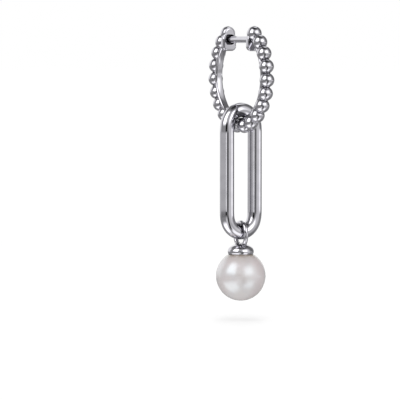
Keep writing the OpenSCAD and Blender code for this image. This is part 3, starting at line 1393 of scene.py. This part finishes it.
@dataclass(frozen=True)
class Studio:
    """The photograph's viewpoint, its surrounding panels, its table and floor, and its overhead light.

    The target's two pixel counts are how far to the right of and above the middle of the photograph the
    drop's axis falls, at the target's height.
    """

    azimuth: float = -31.13
    elevation: float = 2.68
    distance: float = 401.55
    lens: float = 240.93
    sensor: float = 36.0
    mm_per_pixel: float = 0.15
    target_z: float = -18.473
    target_right_px: float = 40.82
    target_up_px: float = 37.0
    nearest: float = 10.0
    farthest: float = 20000.0
    floor_z: float = -42.05
    floor_r: float = 3000.0
    floor_grey: float = 0.5
    near_glow: float = 0.455
    far_glow: float = 1.02
    shadow_r: float = 80.0
    shadow_end_r: float = 160.0
    table_r: float = 250.0
    table_z: float = -66.0
    beads_y: float = -6.5
    beads_z: float = -8.0
    disc_corners: int = 96
    overhead_w: float = 120.0
    overhead_len: float = 600.0
    overhead_z: float = 340.0
    overhead_watts: float = 0.5
    base_light: float = 0.27
    deeper_loss: float = 0.9
    loss_from: float = 2.0
    loss_full: float = 3.7
    diffuse_light: float = 0.95
    panels: tuple[Panel, ...] = (
        Panel(180, 20, 78, 70, 14, 0.15),
        Panel(180, -35, 78, 34, 14, 0.27),
        Panel(178, 13, 32, 11, 7, 0.5),
        Panel(-142, 16, 34, 20, 8, 0.85),
        Panel(-168, 8, 5, 34, 3, 1.1),
        Panel(168, 8, 5, 34, 3, 1.1),
        Panel(0, -76, 180, 18, 14, 0.37),
        Panel(134, -56, 38, 16, 10, 0.18),
        Panel(0, 32, 20, 22, 9, 0.45),
        Panel(54, 24, 31, 28, 12, 0.68),
        Panel(-49, 35, 24, 23, 6, 2.1),
        Panel(41, 24, 22, 17, 8, 1.7),
        Panel(45, 64, 66, 8, 5, 0.14),
        Panel(0, 90, 180, 20, 7, 0.03),
        Panel(165, 62, 26, 11, 8, 1.0),
        Panel(45, -21, 45, 15, 8, 0.5),
        Panel(62, -11, 20, 4.5, 4, 0.38),
        Panel(-60, -12, 40, 6, 5, 0.2),
        Panel(-60, -56, 38, 19, 9, 1.4),
        Panel(43, -52, 27, 18, 8, 1.18),
        Panel(-13, -34, 11, 16, 6, 0.66),
        Panel(15, -29, 12, 24, 6, 0.04),
        Panel(-10, 1, 13, 11, 5, 0.0),
        Panel(-75, -2.9, 55, 1.5, 2, 0.46),
        Panel(-11, -2.9, 6, 1.5, 2, 1.2),
        Panel(20, -2.9, 9, 1.5, 3, 0.1),
        Panel(57, -3.2, 26, 4, 6, 0.6),
        Panel(92, -2.9, 18, 1.5, 8, 1.1),
        Panel(62, 1.6, 20, 1.6, 6, 0.6),
    )

    def axes(self) -> tuple[Vector, Vector, Vector]:
        """The camera's right, up and backward directions, before it is aimed.

        Returns:
            The three directions, each of length 1.
        """
        turn, rise = math.radians(self.azimuth), math.radians(self.elevation)
        back = Vector((math.sin(turn) * math.cos(rise), -math.cos(turn) * math.cos(rise), math.sin(rise)))
        right = Vector((math.cos(turn), math.sin(turn), 0))
        return right, back.cross(right), back

    def build(self) -> None:
        """Builds the camera, the world, the floor, the table and the light."""
        bpy.context.scene.view_settings.view_transform = "Standard"
        self.camera()
        self.world()
        self.floor()
        self.table()
        self.overhead()

    def camera(self) -> None:
        """Aims the camera so that the drop's axis falls where the photograph has it."""
        right, up, back = self.axes()
        target = Vector((0, 0, self.target_z))
        eye = target + back * self.distance
        aim = target - (right * self.target_right_px + up * self.target_up_px) * self.mm_per_pixel
        data = bpy.data.cameras.new("photo_view")
        data.lens, data.sensor_width = self.lens, self.sensor
        data.clip_start, data.clip_end = self.nearest * MM, self.farthest * MM
        camera = bpy.data.objects.new("photo_view", data)
        bpy.context.scene.collection.objects.link(camera)
        camera.location = eye * MM
        camera.rotation_mode = "QUATERNION"
        camera.rotation_quaternion = (aim - eye).to_track_quat("-Z", "Y")
        bpy.context.scene.camera = camera

    def world(self) -> None:
        """The surroundings: panels for reflections, even light for matt surfaces and white behind."""
        world = bpy.data.worlds.new("studio")
        bpy.context.scene.world = world
        world.use_nodes = True
        world.cycles.sampling_method = "NONE"
        nodes = NodeMaker(world.node_tree)
        light = self.panel_light(nodes, nodes.add("ShaderNodeTexCoord", out="Generated"))
        for ray, seen in (("Is Diffuse Ray", self.diffuse_light), ("Is Camera Ray", 1.0)):
            light = nodes.blend(nodes.add("ShaderNodeLightPath", out=ray), light, seen)
        glow = nodes.add("ShaderNodeBackground", values={"Color": (1, 1, 1, 1), "Strength": light})
        nodes.add("ShaderNodeOutputWorld", values={"Surface": glow})

    def panel_light(self, nodes: NodeMaker, direction: Wire) -> Wire:
        """The light of the panels in a direction, which fades for rays that were mirrored before.

        The direction's bearing and height are found first. A panel then covers what is within its half
        width and half height, with an even fade across its edge, and later panels cover earlier ones.

        Args:
            nodes: the maker of the tree.
            direction: a vector of length 1.

        Returns:
            The light.
        """
        right, _, back = self.axes()
        level = Vector((back.x, back.y, 0)).normalized()
        sideways, towards = direction.dot(tuple(right)), direction.dot(tuple(level))
        math_node = "ShaderNodeMath"
        degrees = 180 / math.pi
        bearing = nodes.add(math_node, {"operation": "ARCTAN2"}, {0: sideways, 1: towards}) * degrees
        height = nodes.add(math_node, {"operation": "ARCSINE"}, {0: direction.dot((0, 0, 1))}) * degrees
        light: Wire | float = self.base_light
        for panel in self.panels:
            turned = {0: bearing - panel.bearing, 1: 180.0, 2: -180.0}
            aside = abs(nodes.add(math_node, {"operation": "WRAP"}, turned))
            off = abs(height - panel.height)
            wide = aside.smooth(panel.half_wide + panel.edge, panel.half_wide - panel.edge)
            edge = min(panel.edge, panel.half_high / 2)
            high = off.smooth(panel.half_high + edge, panel.half_high - edge)
            light = nodes.blend(wide * high, light, panel.light)
        deeper = nodes.add("ShaderNodeLightPath", out="Ray Depth").smooth(self.loss_from, self.loss_full)
        return light * (1 - self.deeper_loss * deeper)

    def disc(self, name: str, radius: float, height: float) -> bpy.types.Object:
        """A flat disc of the studio, facing up, without a material.

        Args:
            name: the disc's name.
            radius: its radius.
            height: its Z.

        Returns:
            The disc.
        """
        turn = ring(self.disc_corners)
        points = np.stack([np.cos(turn), np.sin(turn), 0 * turn], 1) * radius
        points[:, 2] = height
        mesh = bpy.data.meshes.new(name)
        mesh.from_pydata(points * MM, [], [list(range(self.disc_corners))])
        disc = bpy.data.objects.new(name, mesh)
        bpy.context.scene.collection.objects.link(disc)
        return disc

    def table(self) -> None:
        """The near part of the table, which only mirroring surfaces see.

        It shows the panels as they lie on the table when they are looked at from the beads, so that a lower
        part sees the same patches of the table less far down.
        """
        table = self.disc("table", self.table_r, self.table_z)
        table.visible_camera = table.visible_diffuse = table.visible_shadow = False
        material, nodes = new_material("table_patches")
        beads = nodes.add("ShaderNodeCombineXYZ", values={"Y": self.beads_y, "Z": self.beads_z})
        place = nodes.millimetres() - beads
        direction = nodes.add("ShaderNodeVectorMath", {"operation": "NORMALIZE"}, {0: place})
        glow = nodes.add("ShaderNodeEmission", values={"Strength": self.panel_light(nodes, direction)})
        nodes.add("ShaderNodeOutputMaterial", values={"Surface": glow})
        table.data.materials.append(material)

    def floor(self) -> None:
        """A wide white disc that glows white, and takes a faint shadow only close to the earring."""
        floor = self.disc("floor", self.floor_r, self.floor_z)
        floor.visible_glossy = floor.visible_diffuse = False
        material, nodes = new_material("white_floor")
        place = nodes.millimetres()
        away = nodes.add("ShaderNodeVectorMath", {"operation": "LENGTH"}, {0: place}, "Value")
        near = away.smooth(self.shadow_end_r, self.shadow_r)
        grey = (self.floor_grey, self.floor_grey, self.floor_grey, 1)
        matt = nodes.add("ShaderNodeBsdfDiffuse", values={"Color": grey})
        glow = nodes.add("ShaderNodeEmission", values={"Strength": self.near_glow})
        lit = nodes.add("ShaderNodeAddShader", values={0: matt, 1: glow})
        plain = nodes.add("ShaderNodeEmission", values={"Strength": self.far_glow})
        white = nodes.add("ShaderNodeMixShader", values={0: near, 1: plain, 2: lit})
        clear = nodes.add("ShaderNodeBsdfTransparent")
        under = nodes.add("ShaderNodeNewGeometry", out="Backfacing")
        both = nodes.add("ShaderNodeMixShader", values={0: under, 1: white, 2: clear})
        nodes.add("ShaderNodeOutputMaterial", values={"Surface": both})
        floor.data.materials.append(material)

    def overhead(self) -> None:
        """A long soft light above, stretched towards the camera, which only matt surfaces see."""
        data = bpy.data.lights.new("overhead", "AREA")
        data.shape = "RECTANGLE"
        data.size, data.size_y = self.overhead_w * MM, self.overhead_len * MM
        data.energy = self.overhead_watts
        light = bpy.data.objects.new("overhead", data)
        light.location = (0, 0, self.overhead_z * MM)
        light.rotation_euler = (0, 0, math.radians(self.azimuth))
        light.visible_glossy = light.visible_camera = False
        bpy.context.scene.collection.objects.link(light)


def main() -> None:
    """Builds the studio and each sub-assembly."""
    logging.basicConfig(level=logging.INFO, format="%(message)s")
    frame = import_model()
    Studio().build()
    silver, nacre = SilverFinish().make(), NacreFinish().make()
    for side in Side:
        HoopHalf(side, silver).build()
    LongLink(silver).build()
    PearlDrop(silver, nacre).build()
    pin = frame["nodes"]["hinge_pin"]
    pin.data.materials.clear()
    pin.data.materials.append(silver)
    LOG.info("hinge pin dressed")


if __name__ == "__main__":
    main()
